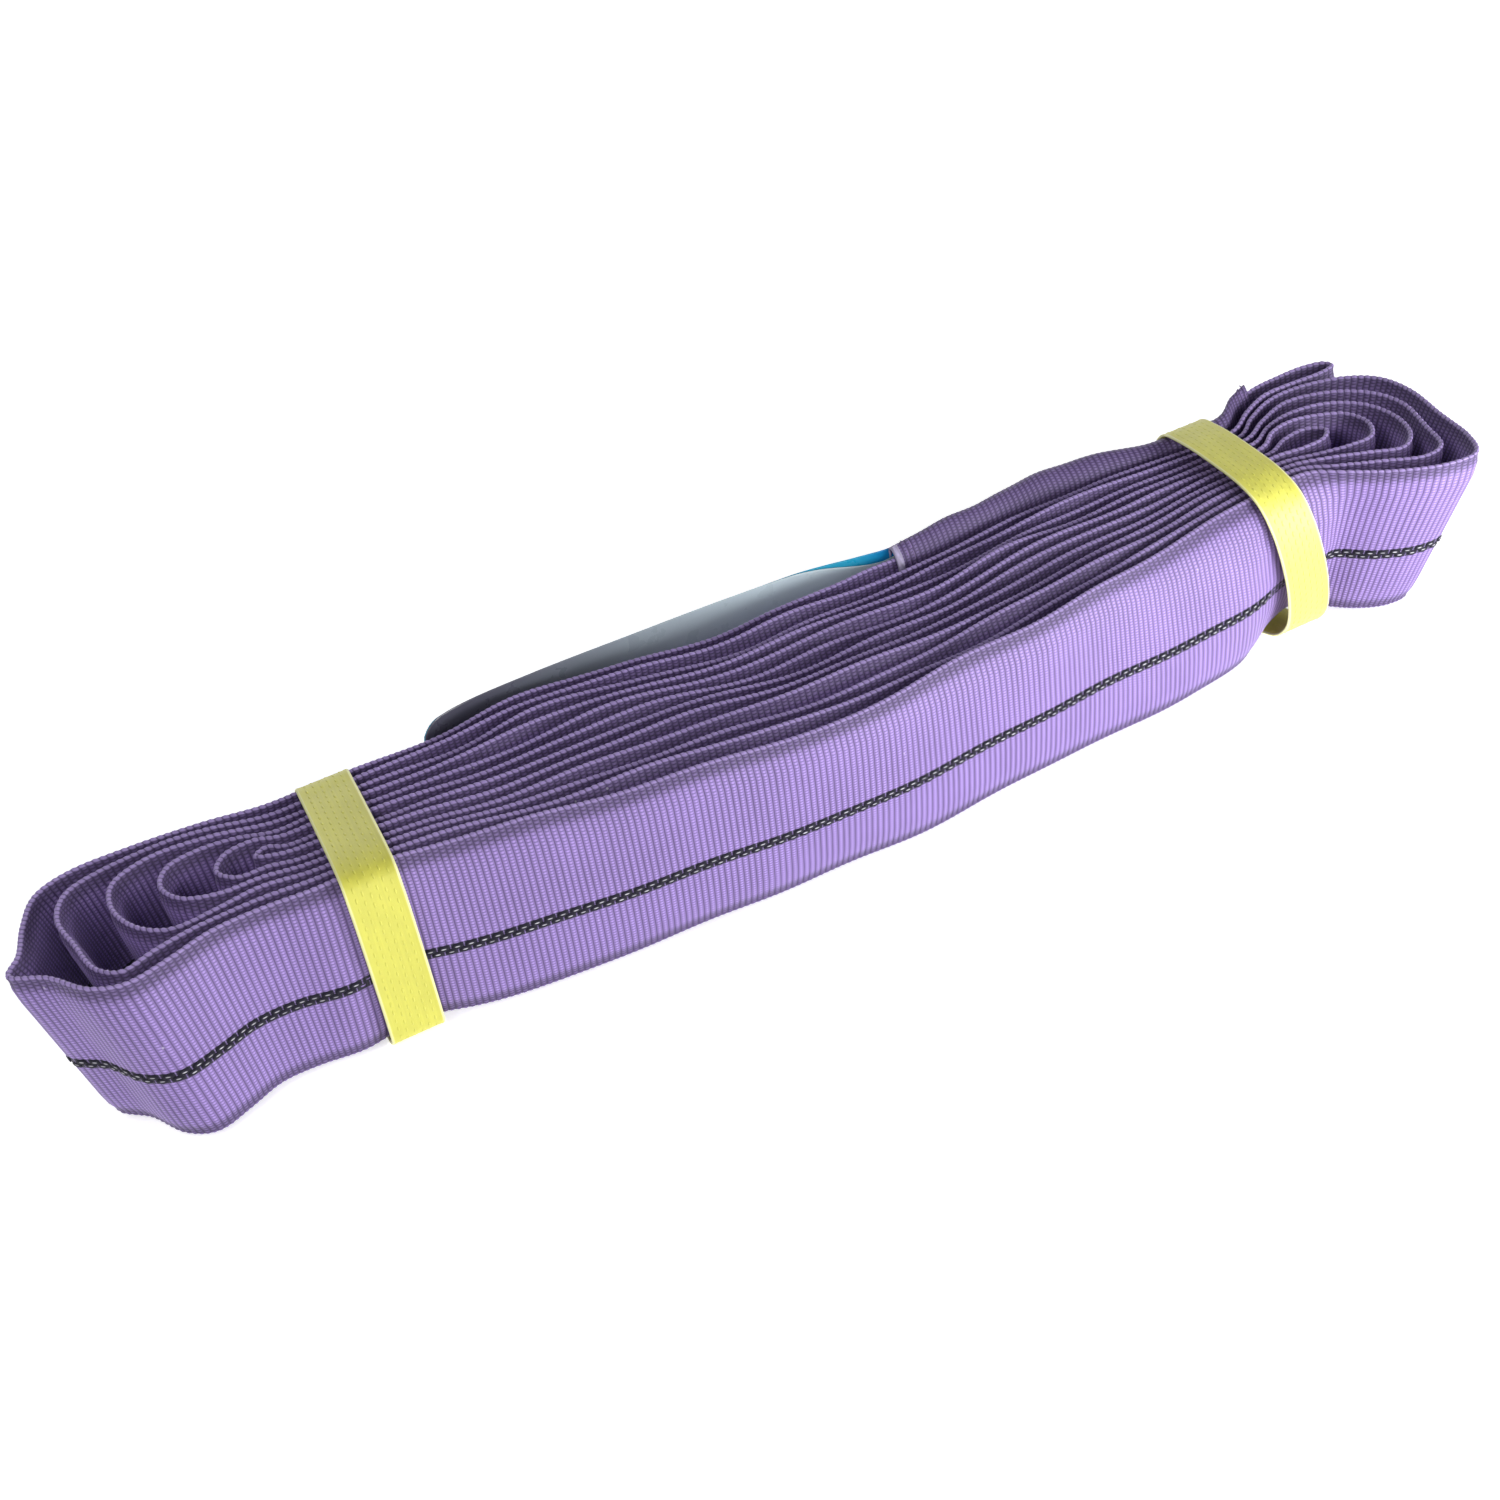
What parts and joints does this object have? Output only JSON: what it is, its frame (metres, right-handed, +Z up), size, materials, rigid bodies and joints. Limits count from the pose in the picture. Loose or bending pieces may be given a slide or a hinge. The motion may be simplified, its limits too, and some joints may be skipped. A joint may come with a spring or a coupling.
{
  "type": "tubular web lifting sling, tied in a hank",
  "caption": "Endless tubular web lifting sling folded into a flat hank on its edge, held by packing straps, with a sewn-in label that swings open.",
  "frame": {"origin": "on the surface the hank rests on, under the middle of its bounding box", "axes": "+X along the hank, +Y from the front layer to the rear layer with the label, +Z up across the web's width"},
  "size_m": [0.438, 0.0768, 0.0563],
  "materials": {
    "woven_web": "ribbed violet polyester weave with a dark marker stripe",
    "core_yarn": "undyed polyester yarn",
    "thread": "violet sewing thread",
    "label_face": "coated blue label face",
    "label_back": "coated white label leaf",
    "strapping": "embossed yellow polypropylene strapping"
  },
  "bodies": {
    "hank": {"woven_sleeve": "woven_web", "core_yarn": "core_yarn", "joint_cuff": "woven_web", "cuff_seam_at_label": "thread", "cuff_seam_at_far_end": "thread", "label_tail": "label_back", "packing_strap_left": "strapping", "packing_strap_right": "strapping"},
    "label": {"label_inner_leaf": "label_back", "label_outer_leaf": "label_face"}
  },
  "joints": [
    {"name": "label_swing", "type": "hinge", "parent": "hank", "child": "label", "pos_m": [0.0472, 0.0277, 0.031], "axis": [0, 0, -1], "range_deg": [0, 90]}
  ]
}
